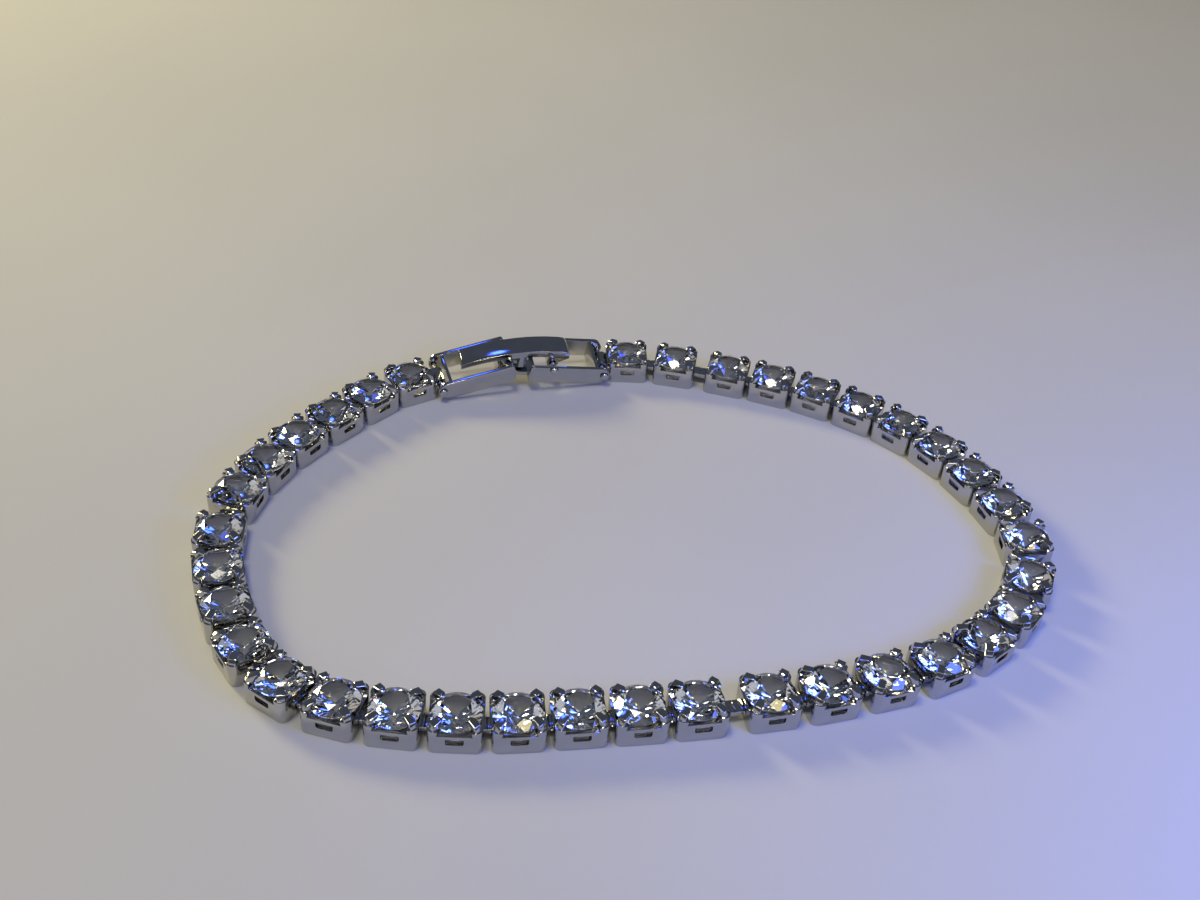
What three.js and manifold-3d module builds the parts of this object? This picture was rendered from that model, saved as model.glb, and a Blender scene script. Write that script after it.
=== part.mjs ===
// A tennis bracelet, closed and lying flat: 36 clear round stones in four-prong square settings,
// joined by folded tabs, with a fold-over clasp between the first and the last setting.
// Millimetres, +Z up, the floor at z = 0, the origin under the middle of the loop.
import * as THREE from 'three';
import { mergeVertices } from 'three/addons/utils/BufferGeometryUtils.js';
import Module from 'manifold-3d';

// The stones and how they sit
const LINK_COUNT = 36;
const STONE_DIAMETER = 3.8;
const TABLE_DIAMETER = 2.3;
const CROWN_ANGLE_DEG = 34;
const PAVILION_ANGLE_DEG = 41;
const GIRDLE_THICKNESS = 0.1;
const CULET_HEIGHT = 0.4;
const STONE_GAP = 0.1;
const STONE_SIDES = 16;

// The settings
const SETTING_MARGIN = 0.1;
const SETTING_CORNER_CUT = 0.55;
const HOLLOW_SIDES = 8;
const BORE_DIAMETER = 3.2;
const PRONG_RISE = 0.14;
const WALL_TOP_DROP = 0.4;
const DIP_TOP_WIDTH = 2.4;
const DIP_FLOOR_WIDTH = 2.55;
const WINDOW_WIDTH = 1.3;
const WINDOW_HEIGHT = 0.55;
const WINDOW_SILL = 0.88;

// The folded tabs between settings
const JOINT_GAP = 0.4;
const TAB_WIDTH = 1.2;
const TAB_THICKNESS = 0.42;
const TAB_SILL = 0.65;
const TAB_BITE = 0.2;

// Joints of the chain that lie pulled further open than the others
const PULLED_JOINTS = [
  { after: 1, extra: 0.1 },
  { after: 6, extra: 0.8 },
  { after: 9, extra: 0.15 },
  { after: 10, extra: 0.2 },
  { after: 11, extra: 0.15 },
  { after: 18, extra: 1.1 },
  { after: 19, extra: 0.3 },
  { after: 20, extra: 0.4 },
  { after: 21, extra: 0.5 },
  { after: 22, extra: 0.3 },
  { after: 23, extra: 0.15 },
  { after: 24, extra: 0.15 },
  { after: 25, extra: 0.6 },
  { after: 26, extra: 0.2 },
  { after: 34, extra: 0.8 },
  { after: 35, extra: 0.4 },
];

// The loop's route as it lies, from the first setting round to the last and back over the clasp
const ROUTE_POINTS = [
  [-21.5, 17.2], [-27.4, 10.8], [-31.8, 3.8], [-33.8, -3.4], [-32.6, -10.7], [-29.0, -18.0],
  [-25.6, -21.3], [-20.8, -23.1], [-11.8, -23.5], [-2.8, -22.2], [6.0, -20.5], [15.6, -17.9],
  [24.8, -13.8], [31.0, -7.4], [33.0, 0.4], [29.6, 9.3], [24.4, 15.4], [17.6, 19.5],
  [9.0, 22.2], [-1.2, 23.4], [-11.5, 20.9],
];

// The clasp's frames
const FRAME_WIDTH = 4.4;
const FRAME_HEIGHT = 1.9;
const RAIL_THICKNESS = 0.32;
const CATCH_REACH = 6.8;
const LEVER_FRAME_REACH = 9.35;
const LEVER_FRAME_START = 1.9;
const RAIL_OVERRUN = 0.45;
const END_WALL_THICKNESS = 0.3;
const CLASP_BEND_DEG = 4.5;
const CATCH_RISE_DEG = 10;
const CLASP_LEAN_DEG = 8;
const BAR_WIDTH = 0.5;
const BAR_HEIGHT = 0.6;
const BAR_SILL = 0.75;
const PIP_DIAMETER = 0.4;
const PIP_PROUD = 0.08;

// The hooked tongue of the lever frame
const TONGUE_WIDTH = 2.4;
const TONGUE_THICKNESS = 0.4;
const TONGUE_ROOT = 0.9;
const HOOK_THICKNESS = 0.4;
const HOOK_GAP = 0.4;
const HOOK_HEIGHT = 1.3;

// The pins
const PIN_DIAMETER = 0.46;
const PIN_GAP = 0.1;
const PIN_SIDES = 12;
const PIN_HEAD_DIAMETER = 0.76;
const PIN_HEAD_DOME = 0.2;
const END_PIN_HEIGHT = 1.0;
const END_PIN_LIFT = 0.42;
const KNUCKLE_WALL = 0.22;
const KNUCKLE_SIDES = 12;
const END_KNUCKLE_WIDTH = 1.6;
const END_REACH = 0.65;
const STRAP_HEIGHT = 1.0;

// The fold-over lever
const LEVER_WIDTH = 2.2;
const LEVER_TIP = 4.5;
const LEVER_TAIL = 5.7;
const LEVER_CREST = 4.2;
const LEVER_CREST_HEIGHT = 3.05;
const LEVER_TOP_RADIUS = 18;
const LEVER_DEPTH_AT_TIP = 0.65;
const LEVER_DEPTH_AT_TAIL = 0.9;
const LEVER_TAIL_ROUND = 0.45;
const LEVER_TOP_STEPS = 8;
const LEVER_FLOOR_STEPS = 4;
const LEVER_SKIN = 0.3;
const LUG_START = 0.95;
const LUG_WIDTH = 0.5;
const LUG_HEIGHT = 0.85;
const HINGE_FROM_TAIL = 1.5;
const HINGE_HEIGHT = 1.55;
const FOLD_THICKNESS = 0.3;

// Colours and finishes
const METAL = { color: 0xc3c6cb, roughness: 0.16, metalness: 1 };
const STONE = { color: 0xeef2f6, roughness: 0.03, metalness: 0 };

// Sizes that follow from the ones above
const stoneRadius = STONE_DIAMETER / 2;
const tableRadius = TABLE_DIAMETER / 2;
const crownSlope = Math.tan(THREE.MathUtils.degToRad(CROWN_ANGLE_DEG));
const pavilionSlope = Math.tan(THREE.MathUtils.degToRad(PAVILION_ANGLE_DEG));
const girdleFloor = CULET_HEIGHT + stoneRadius * pavilionSlope;
const girdleTop = girdleFloor + GIRDLE_THICKNESS;
const tableHeight = girdleTop + (stoneRadius - tableRadius) * crownSlope;
const settingWidth = STONE_DIAMETER + 2 * SETTING_MARGIN;
const settingHeight = tableHeight + PRONG_RISE;
const wallTop = girdleFloor - WALL_TOP_DROP;
const jointPitch = settingWidth + JOINT_GAP;
const railInside = FRAME_WIDTH / 2 - RAIL_THICKNESS;
const boreRadius = PIN_DIAMETER / 2 + PIN_GAP;
const knuckleRadius = boreRadius + KNUCKLE_WALL;
const hingeAt = LEVER_TAIL - HINGE_FROM_TAIL;
const endReach = settingWidth / 2 + END_REACH;

const wasm = await Module();
wasm.setup();

// A closed mesh as a solid that can be joined and cut
function solid(geometry) {
  geometry.deleteAttribute('normal');
  geometry.deleteAttribute('uv');
  const merged = mergeVertices(geometry, 1e-5);
  return new wasm.Manifold(new wasm.Mesh({
    numProp: 3,
    vertProperties: new Float32Array(merged.attributes.position.array),
    triVerts: new Uint32Array(merged.index.array),
  }));
}

function geometryOf(body) {
  const mesh = body.getMesh();
  const geometry = new THREE.BufferGeometry();
  geometry.setAttribute('position', new THREE.BufferAttribute(new Float32Array(mesh.vertProperties), 3));
  geometry.setIndex(new THREE.BufferAttribute(new Uint32Array(mesh.triVerts), 1));
  return geometry;
}

// A box given by its lowest and highest corner
function block([x0, y0, z0], [x1, y1, z1]) {
  const geometry = new THREE.BoxGeometry(x1 - x0, y1 - y0, z1 - z0);
  return solid(geometry.translate((x0 + x1) / 2, (y0 + y1) / 2, (z0 + z1) / 2));
}

// A profile of [radius, height] points turned about the vertical axis
function turned(profile, sides) {
  const points = profile.map(([radius, height]) => new THREE.Vector2(radius, height));
  return solid(new THREE.LatheGeometry(points, sides).rotateX(Math.PI / 2));
}

// A side profile of [x, z] points, as wide as given across y
function plate(profile, width) {
  const shape = new THREE.Shape(profile.map(([x, z]) => new THREE.Vector2(x, z)));
  const geometry = new THREE.ExtrudeGeometry(shape, { depth: width, bevelEnabled: false });
  return solid(geometry.rotateX(Math.PI / 2).translate(0, width / 2, 0));
}

// A round bar across y, centred on the given point
function crossBar(x, z, radius, width, sides) {
  return solid(new THREE.CylinderGeometry(radius, radius, width, sides).translate(x, 0, z));
}

function ring(radius, height, count, startTurn = 0) {
  return Array.from({ length: count }, (_, i) => {
    const angle = startTurn + (2 * Math.PI * i) / count;
    return [radius * Math.cos(angle), radius * Math.sin(angle), height];
  });
}

// A round brilliant: table, 8 stars, 8 kites, 16 upper halves, the girdle and a 16-sided pavilion
function stoneGeometry() {
  const half = STONE_SIDES / 2;
  const step = Math.PI / half;
  const flatRadius = tableRadius * Math.cos(step);
  const starRadius = (flatRadius + stoneRadius) / 2;
  const starHeight = tableHeight - (starRadius * Math.cos(step) - tableRadius) * crownSlope;
  const table = ring(tableRadius, tableHeight, half);
  const stars = ring(starRadius, starHeight, half, step);
  const upper = ring(stoneRadius, girdleTop, STONE_SIDES);
  const lower = ring(stoneRadius, girdleFloor, STONE_SIDES);
  const points = [...table, ...stars, ...upper, ...lower, [0, 0, CULET_HEIGHT]];
  const starAt = half;
  const upperAt = 2 * half;
  const lowerAt = upperAt + STONE_SIDES;
  const culet = points.length - 1;
  const faces = [];
  for (let i = 1; i < half - 1; i++) faces.push([0, i, i + 1]);
  for (let i = 0; i < half; i++) {
    const next = (i + 1) % half;
    const star = starAt + i;
    const starBefore = starAt + ((i + half - 1) % half);
    const corner = upperAt + 2 * i;
    const middle = upperAt + 2 * i + 1;
    const cornerNext = upperAt + 2 * next;
    faces.push([i, star, next], [i, starBefore, corner], [i, corner, star]);
    faces.push([star, corner, middle], [star, middle, cornerNext]);
  }
  for (let i = 0; i < STONE_SIDES; i++) {
    const next = (i + 1) % STONE_SIDES;
    faces.push([upperAt + i, lowerAt + i, lowerAt + next], [upperAt + i, lowerAt + next, upperAt + next]);
    faces.push([lowerAt + i, culet, lowerAt + next]);
  }
  const geometry = new THREE.BufferGeometry();
  geometry.setAttribute('position', new THREE.Float32BufferAttribute(points.flat(), 3));
  geometry.setIndex(faces.flat());
  return geometry;
}

// The hollow for one stone: a bore, a seat under the girdle and the undersides of the prongs.
// Its flats face the walls and the prongs, at the radii worked out here.
function stoneHollow() {
  const bore = BORE_DIAMETER / 2;
  const seat = stoneRadius + STONE_GAP;
  const seatFloor = girdleFloor - (seat - bore) * pavilionSlope;
  const reach = 2 * STONE_GAP;
  const crownTop = settingHeight + reach;
  const crownRadius = seat - (crownTop - girdleTop - STONE_GAP / 2) * (stoneRadius - tableRadius)
    / (tableHeight - girdleTop);
  const flatTurn = Math.PI / HOLLOW_SIDES;
  const profile = [
    [0, -reach],
    [bore, -reach],
    [bore, seatFloor - STONE_GAP],
    [seat, girdleFloor - STONE_GAP],
    [seat, girdleTop + STONE_GAP / 2],
    [crownRadius, crownTop],
    [0, crownTop],
  ].map(([flatRadius, height]) => [flatRadius / Math.cos(flatTurn), height]);
  return turned(profile, HOLLOW_SIDES).rotate([0, 0, THREE.MathUtils.radToDeg(flatTurn)]);
}

// One four-prong setting, its length along x and its two windows in the side walls
function settingSolid() {
  const out = settingWidth / 2;
  const cut = out - SETTING_CORNER_CUT;
  const outline = new THREE.Shape([
    [cut, -out], [out, -cut], [out, cut], [cut, out],
    [-cut, out], [-out, cut], [-out, -cut], [-cut, -out],
  ].map(([x, y]) => new THREE.Vector2(x, y)));
  const body = solid(new THREE.ExtrudeGeometry(outline, { depth: settingHeight, bevelEnabled: false }));
  const floor = DIP_FLOOR_WIDTH / 2;
  const top = DIP_TOP_WIDTH / 2;
  const above = settingHeight + STONE_GAP;
  const dip = plate([[-floor, wallTop], [floor, wallTop], [top, above], [-top, above]], 2 * settingWidth);
  const window = block([-WINDOW_WIDTH / 2, -settingWidth, WINDOW_SILL],
    [WINDOW_WIDTH / 2, settingWidth, WINDOW_SILL + WINDOW_HEIGHT]);
  return body.subtract(stoneHollow()).subtract(dip).subtract(dip.rotate([0, 0, 90])).subtract(window);
}

// How far along the route each setting lies from the first
function chainStations() {
  const stations = [0];
  for (let link = 1; link < LINK_COUNT; link++) {
    const pulled = PULLED_JOINTS.find((row) => row.after === link);
    stations.push(stations[link - 1] + jointPitch + (pulled ? pulled.extra : 0));
  }
  return stations;
}

// The closed route, scaled until the clasp spans the gap that the settings leave
function layRoute(stations, claspSpan) {
  const curve = new THREE.CatmullRomCurve3(
    ROUTE_POINTS.map(([x, y]) => new THREE.Vector3(x, y, 0)), true, 'centripetal');
  curve.arcLengthDivisions = 4000;
  const whole = curve.getLength();
  let scale = 1;
  for (let round = 0; round < 40; round++) {
    const last = stations[LINK_COUNT - 1] / (whole * scale);
    const gap = curve.getPointAt(last).distanceTo(curve.getPointAt(0)) * scale;
    const short = claspSpan - gap;
    scale *= 1 + short / (whole * scale);
  }
  return stations.map((station) => {
    const share = station / (whole * scale);
    const heading = curve.getTangentAt(share);
    return {
      at: curve.getPointAt(share).multiplyScalar(scale),
      turn: Math.atan2(heading.y, heading.x),
    };
  });
}

function placed(body, place) {
  return body.rotate([0, 0, THREE.MathUtils.radToDeg(place.turn)]).translate([place.at.x, place.at.y, 0]);
}

// How a clasp frame lies: turned in plan, pitched up along x and leaned about its own length,
// with its local anchor held at the given point
function frameMatrix(at, turn, pitch, anchor) {
  const lean = THREE.MathUtils.degToRad(CLASP_LEAN_DEG);
  const turned = new THREE.Matrix4().makeRotationZ(turn)
    .multiply(new THREE.Matrix4().makeRotationY(-pitch))
    .multiply(new THREE.Matrix4().makeRotationX(lean));
  return new THREE.Matrix4().makeTranslation(at.x, at.y, at.z).multiply(turned)
    .multiply(new THREE.Matrix4().makeTranslation(-anchor.x, -anchor.y, -anchor.z));
}

// A slice across the end wall of a setting, at its start (side -1) or at its end (side 1)
function endSlice(place, side, width, sill, depth) {
  const wallAt = side * (settingWidth / 2 - TAB_BITE);
  const slice = block([wallAt - TAB_BITE / 2, -width / 2, sill],
    [wallAt + TAB_BITE / 2, width / 2, sill + depth]);
  return placed(slice, place);
}

// The folded tab that runs from one setting's end wall into the next one's
function foldedTab(before, after) {
  return endSlice(before, 1, TAB_WIDTH, TAB_SILL, TAB_THICKNESS)
    .add(endSlice(after, -1, TAB_WIDTH, TAB_SILL, TAB_THICKNESS)).hull();
}

// The loop that joins an end setting to its pin, which lies across the frame at pinX
function endKnuckle(setting, side, frame, pinX) {
  const half = END_KNUCKLE_WIDTH / 2;
  const barrel = crossBar(pinX, END_PIN_HEIGHT, knuckleRadius, END_KNUCKLE_WIDTH, KNUCKLE_SIDES);
  const bore = crossBar(pinX, END_PIN_HEIGHT, boreRadius, 2 * END_KNUCKLE_WIDTH, PIN_SIDES);
  const crown = block([pinX - KNUCKLE_WALL, -half, END_PIN_HEIGHT + boreRadius],
    [pinX + KNUCKLE_WALL, half, END_PIN_HEIGHT + knuckleRadius]);
  const root = endSlice(setting, side, END_KNUCKLE_WIDTH, STRAP_HEIGHT, 2 * KNUCKLE_WALL);
  const strap = crown.transform(frame.elements).add(root).hull();
  return barrel.transform(frame.elements).add(strap).subtract(bore.transform(frame.elements));
}

// A pin across a frame, its domed heads outside the rails
function pinSolid(x, z) {
  const head = PIN_HEAD_DIAMETER / 2;
  const inner = FRAME_WIDTH / 2 + PIN_GAP;
  const shank = crossBar(x, z, PIN_DIAMETER / 2, 2 * inner + PIN_HEAD_DOME, PIN_SIDES);
  const dome = turned([[0, 0], [head, 0], [head * 0.72, PIN_HEAD_DOME * 0.75], [0, PIN_HEAD_DOME]], PIN_SIDES);
  const far = dome.rotate([-90, 0, 0]).translate([x, inner, z]);
  const near = dome.rotate([90, 0, 0]).translate([x, -inner, z]);
  return shank.add(far).add(near);
}

// Two rails with a wall across them on the setting's side, bored for the end pin
function frameRails(from, to, wallFrom, pinAt) {
  const half = FRAME_WIDTH / 2;
  const far = block([from, railInside, 0], [to, half, FRAME_HEIGHT]);
  const near = block([from, -half, 0], [to, -railInside, FRAME_HEIGHT]);
  const wall = block([wallFrom, -half, 0], [wallFrom + END_WALL_THICKNESS, half, FRAME_HEIGHT]);
  const bore = crossBar(pinAt, END_PIN_HEIGHT, boreRadius, 2 * FRAME_WIDTH, PIN_SIDES);
  return far.add(near).add(wall).subtract(bore);
}

// The catch frame, from its end bar at x = 0 to the first setting's pin
function catchFrameSolid() {
  const wallFrom = -CATCH_REACH + knuckleRadius + 2 * PIN_GAP;
  const rails = frameRails(-CATCH_REACH - RAIL_OVERRUN, BAR_WIDTH / 2, wallFrom, -CATCH_REACH);
  const half = FRAME_WIDTH / 2;
  const bar = block([-BAR_WIDTH / 2, -half, BAR_SILL], [BAR_WIDTH / 2, half, BAR_SILL + BAR_HEIGHT]);
  const pip = turned([[0, -PIP_PROUD], [PIP_DIAMETER / 2, -PIP_PROUD], [PIP_DIAMETER / 4, PIP_PROUD],
    [0, PIP_PROUD]], 8);
  const pipAt = [-LEVER_TIP + PIP_DIAMETER, railInside, FRAME_HEIGHT - PIP_DIAMETER];
  const farPip = pip.rotate([90, 0, 0]).translate(pipAt);
  const nearPip = pip.rotate([-90, 0, 0]).translate([pipAt[0], -pipAt[1], pipAt[2]]);
  return rails.add(bar).add(farPip).add(nearPip);
}

// The lever frame, with its hinge bores and the hooked tongue that passes under the catch's bar
function leverFrameSolid() {
  const wallFrom = LEVER_FRAME_REACH - knuckleRadius - 2 * PIN_GAP - END_WALL_THICKNESS;
  const rails = frameRails(LEVER_FRAME_START, LEVER_FRAME_REACH + RAIL_OVERRUN, wallFrom, LEVER_FRAME_REACH);
  const rootHalf = FRAME_WIDTH / 2;
  const root = block([LEVER_FRAME_START, -rootHalf, 0],
    [LEVER_FRAME_START + TONGUE_ROOT, rootHalf, TONGUE_THICKNESS]);
  const hookFace = -BAR_WIDTH / 2 - HOOK_GAP;
  const half = TONGUE_WIDTH / 2;
  const tongue = block([hookFace - HOOK_THICKNESS, -half, 0],
    [LEVER_FRAME_START + TONGUE_ROOT / 2, half, TONGUE_THICKNESS]);
  const hook = block([hookFace - HOOK_THICKNESS, -half, 0], [hookFace, half, HOOK_HEIGHT]);
  const bore = crossBar(hingeAt, HINGE_HEIGHT, boreRadius, 2 * FRAME_WIDTH, PIN_SIDES);
  return rails.add(root).add(tongue).add(hook).subtract(bore);
}

function leverTopHeight(x) {
  return LEVER_CREST_HEIGHT - (x - LEVER_CREST) ** 2 / (2 * LEVER_TOP_RADIUS);
}

// Points along the lever from one x to another, a depth below its arched top that may change evenly
function alongLever(from, to, depthFrom, depthTo, steps) {
  return Array.from({ length: steps + 1 }, (_, i) => {
    const x = from + ((to - from) * i) / steps;
    return [x, leverTopHeight(x) - depthFrom - ((depthTo - depthFrom) * i) / steps];
  });
}

// The arched lever: a channel with side skirts, the lug behind the catch's bar and the rolled knuckle
function leverSolid() {
  const tailTop = leverTopHeight(LEVER_TAIL);
  const tailFloor = tailTop - LEVER_DEPTH_AT_TAIL;
  const outer = plate([
    ...alongLever(-LEVER_TIP, LEVER_TAIL, LEVER_DEPTH_AT_TIP, LEVER_DEPTH_AT_TAIL, LEVER_FLOOR_STEPS),
    [LEVER_TAIL, tailTop - LEVER_TAIL_ROUND],
    ...alongLever(LEVER_TAIL - LEVER_TAIL_ROUND, -LEVER_TIP, 0, 0, LEVER_TOP_STEPS),
  ], LEVER_WIDTH);
  const foldFrom = hingeAt - knuckleRadius;
  const innerTip = -LEVER_TIP + LEVER_SKIN;
  const inner = plate([
    [innerTip, leverTopHeight(-LEVER_TIP) - 2 * LEVER_DEPTH_AT_TIP],
    [foldFrom, leverTopHeight(-LEVER_TIP) - 2 * LEVER_DEPTH_AT_TIP],
    ...alongLever(foldFrom, innerTip, LEVER_SKIN, LEVER_SKIN, LEVER_FLOOR_STEPS),
  ], LEVER_WIDTH - 2 * LEVER_SKIN);
  const lug = block([LUG_START, -LEVER_WIDTH / 2, LUG_HEIGHT],
    [LUG_START + LUG_WIDTH, LEVER_WIDTH / 2, LEVER_CREST_HEIGHT - 2 * LEVER_SKIN]);
  const fold = plate([
    [LEVER_TAIL, tailFloor], [LEVER_TAIL, tailFloor + FOLD_THICKNESS],
    [foldFrom, leverTopHeight(hingeAt) - LEVER_SKIN],
    [foldFrom, HINGE_HEIGHT], [hingeAt, HINGE_HEIGHT - knuckleRadius / 2],
  ], LEVER_WIDTH);
  const knuckle = crossBar(hingeAt, HINGE_HEIGHT, knuckleRadius, LEVER_WIDTH, KNUCKLE_SIDES);
  const bore = crossBar(hingeAt, HINGE_HEIGHT, boreRadius, 2 * LEVER_WIDTH, PIN_SIDES);
  return outer.subtract(inner).add(lug).add(fold).add(knuckle).subtract(bore);
}

const metal = new THREE.MeshStandardMaterial(METAL);
const stone = new THREE.MeshStandardMaterial(STONE);
const bracelet = new THREE.Group();

function addMesh(name, geometry, material, parent) {
  const mesh = new THREE.Mesh(geometry, material);
  mesh.name = name;
  parent.add(mesh);
  return mesh;
}

// Where everything lies: the settings along the route and the clasp across the gap they leave.
// The catch frame rises from its end pin to the bar, and the lever frame falls from there to its own.
const bend = THREE.MathUtils.degToRad(CLASP_BEND_DEG);
const catchRise = THREE.MathUtils.degToRad(CATCH_RISE_DEG);
const leverFall = Math.asin((CATCH_REACH * Math.sin(catchRise)) / LEVER_FRAME_REACH);
const catchSpan = CATCH_REACH * Math.cos(catchRise) + endReach;
const leverSpan = LEVER_FRAME_REACH * Math.cos(leverFall) + endReach;
const claspSpan = Math.sqrt(catchSpan ** 2 + leverSpan ** 2 + 2 * catchSpan * leverSpan * Math.cos(bend));
const places = layRoute(chainStations(), claspSpan);
const first = places[0];
const last = places[LINK_COUNT - 1];
const chord = new THREE.Vector3().subVectors(last.at, first.at);
const chordTurn = Math.atan2(chord.y, chord.x);
const catchTurn = chordTurn + Math.asin((leverSpan * Math.sin(bend)) / claspSpan);
const leverTurn = catchTurn - bend;
const barAt = new THREE.Vector3(catchSpan, 0, 0)
  .applyAxisAngle(new THREE.Vector3(0, 0, 1), catchTurn).add(first.at);
barAt.z = END_PIN_HEIGHT + END_PIN_LIFT + CATCH_REACH * Math.sin(catchRise);
const barAnchor = new THREE.Vector3(0, 0, END_PIN_HEIGHT);
const catchMatrix = frameMatrix(barAt, catchTurn, catchRise, barAnchor);
const leverMatrix = frameMatrix(barAt, leverTurn, -leverFall, barAnchor);

// The settings' turn is along the route, which runs from the catch frame round to the lever frame
const setting = settingSolid();
const chainParts = places.map((place) => placed(setting, place));
for (let link = 1; link < LINK_COUNT; link++) chainParts.push(foldedTab(places[link - 1], places[link]));
chainParts.push(endKnuckle(first, -1, catchMatrix, -CATCH_REACH));
chainParts.push(endKnuckle(last, 1, leverMatrix, LEVER_FRAME_REACH));
addMesh('chain', geometryOf(wasm.Manifold.union(chainParts)), metal, bracelet);

const oneStone = stoneGeometry();
places.forEach((place, i) => {
  const mesh = addMesh(`stone_${String(i + 1).padStart(2, '0')}`, oneStone.clone(), stone, bracelet);
  mesh.position.copy(place.at);
  mesh.rotation.z = place.turn;
});

const catchGroup = new THREE.Group();
catchGroup.applyMatrix4(catchMatrix);
addMesh('catch_frame', geometryOf(catchFrameSolid()), metal, catchGroup);
addMesh('catch_end_pin', geometryOf(pinSolid(-CATCH_REACH, END_PIN_HEIGHT)), metal, catchGroup);

const leverGroup = new THREE.Group();
leverGroup.applyMatrix4(leverMatrix);
addMesh('lever_frame', geometryOf(leverFrameSolid()), metal, leverGroup);
addMesh('lever_end_pin', geometryOf(pinSolid(LEVER_FRAME_REACH, END_PIN_HEIGHT)), metal, leverGroup);
addMesh('lever', geometryOf(leverSolid()), metal, leverGroup);
addMesh('hinge_pin', geometryOf(pinSolid(hingeAt, HINGE_HEIGHT)), metal, leverGroup);

bracelet.add(catchGroup, leverGroup);

// The origin goes under the middle of the whole
const middle = new THREE.Box3().setFromObject(bracelet).getCenter(new THREE.Vector3());
bracelet.position.set(-middle.x, -middle.y, 0);

export default bracelet;
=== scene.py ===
import math
import random

import bmesh
import bpy
from mathutils import Matrix, Vector


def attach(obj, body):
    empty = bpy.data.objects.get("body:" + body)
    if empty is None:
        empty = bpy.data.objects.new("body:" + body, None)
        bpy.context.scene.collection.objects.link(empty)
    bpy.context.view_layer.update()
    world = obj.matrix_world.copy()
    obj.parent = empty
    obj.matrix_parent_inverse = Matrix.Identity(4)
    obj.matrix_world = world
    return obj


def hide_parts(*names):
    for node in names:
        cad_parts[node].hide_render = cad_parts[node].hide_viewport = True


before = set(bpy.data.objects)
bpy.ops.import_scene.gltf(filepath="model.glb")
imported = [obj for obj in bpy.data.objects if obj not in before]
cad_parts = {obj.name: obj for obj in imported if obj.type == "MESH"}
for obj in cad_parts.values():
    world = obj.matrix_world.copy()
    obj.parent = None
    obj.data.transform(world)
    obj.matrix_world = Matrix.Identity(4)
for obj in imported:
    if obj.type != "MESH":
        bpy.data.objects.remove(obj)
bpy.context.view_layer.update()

MM = 0.001
SEED = 11

# How far a cutting solid passes what it cuts, and the small steps that keep joined faces out of one plane
CLEAR = 0.2
HAIR = 0.01

# How edges are rounded and shaded
MERGE = 1e-4
FLAT_BELOW_DEG = 0.6
ROUND_ABOVE_DEG = 30.0
SHARP_ABOVE_DEG = 38.0
EDGE_ROUND = 0.035
EDGE_STEPS = 2

# The camera, at the height and angle that the photograph was taken from
CAMERA_AT = (-5.2, -90.4, 78.5)
CAMERA_PITCH_DEG = 37.85
CAMERA_YAW_DEG = -1.25
CAMERA_ROLL_DEG = 4.92
CAMERA_LENS = 42.0

# The stones, in millimetres above the floor and from their own axis
STONE_RADIUS = 1.9
TABLE_RADIUS = 1.15
TABLE_HEIGHT = 2.658
GIRDLE_TOP = 2.152
GIRDLE_FLOOR = 2.052
CROWN_MAIN_DEG = 33.7
STAR_DEG = 21.0
UPPER_HALF_DEG = 40.0
PAVILION_MAIN_DEG = 41.0
LOWER_HALF_DEG = 41.6
GIRDLE_SIDES = 64
FACETS_ROUND = 8
STONE_TILT_DEG = 1.5

# The settings
SETTING_HALF = 2.0
SETTING_CORNER = 0.55
CORNER_STEPS = 6
POST_TOP = 2.12
WALL_TOP = 1.72
DIP_FLOOR_HALF = 1.28
DIP_TOP_HALF = 1.22
BORE_RADIUS = 1.58
SEAT_GAP = 0.03
HOLLOW_SIDES = 48
WINDOW_HALF = 0.66
WINDOW_SILL = 0.88
WINDOW_TOP = 1.43
WINDOW_CORNER = 0.12
SLOT_HALF = 0.68
SLOT_SILL = 0.58
SLOT_TOP = 1.14

# The claws, as (distance from the axis, height, half width, ball radius), along the diagonal
CLAW_BALLS = (
    (2.38, 1.35, 0.20, 0.08),
    (2.02, 1.35, 0.20, 0.08),
    (2.38, 2.14, 0.22, 0.08),
    (2.22, 2.50, 0.26, 0.08),
    (1.64, 2.66, 0.22, 0.08),
    (1.46, 2.54, 0.09, 0.10),
)

# The folded tabs between settings
TAB_HALF = 0.6
TAB_THICKNESS = 0.42
TAB_SILL = 0.65
TAB_BITE = 0.3
TAB_FOLD = 0.13
TAB_OVERLAP = 0.03

# The clasp; each frame's own x runs along it from the bar. The sizes are those of its solids, but the
# lever's crest is 0.07 mm higher, its top is crowned and the tops of the rails lean, to catch the light.
CLASP_BEND_DEG = 4.5
CATCH_RISE_DEG = 10.0
CLASP_LEAN_DEG = 8.0
CATCH_REACH = 6.8
LEVER_FRAME_REACH = 9.35
LEVER_FRAME_START = 1.9
END_REACH = 0.65
FRAME_HALF = 2.2
FRAME_HEIGHT = 1.9
RAIL_THICKNESS = 0.32
RAIL_OVERRUN = 0.45
RAIL_CORNER = 0.3
RAIL_TOP_LEAN = 0.105
END_WALL = 0.3
BAR_HALF = 0.25
BAR_SILL = 0.75
BAR_TOP = 1.35
BAR_CORNER = 0.12
PIP_RADIUS = 0.2
PIP_PROUD = 0.08
TONGUE_HALF = 1.2
TONGUE_THICKNESS = 0.4
TONGUE_ROOT = 0.9
HOOK_FACE = -0.65
HOOK_THICKNESS = 0.4
HOOK_HEIGHT = 1.3
PIN_RADIUS = 0.23
PIN_GAP = 0.1
PIN_SIDES = 24
PIN_HEAD = 0.38
PIN_DOME = 0.2
END_PIN_HEIGHT = 1.0
END_PIN_LIFT = 0.42
KNUCKLE_WALL = 0.22
END_LOOP_HALF = 0.8
END_LOOP_BITE = 0.2
STRAP_HEIGHT = 1.0
LEVER_HALF = 1.1
LEVER_TIP = -4.5
LEVER_TAIL = 5.7
LEVER_CREST = 4.2
LEVER_CREST_HEIGHT = 3.12
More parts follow.
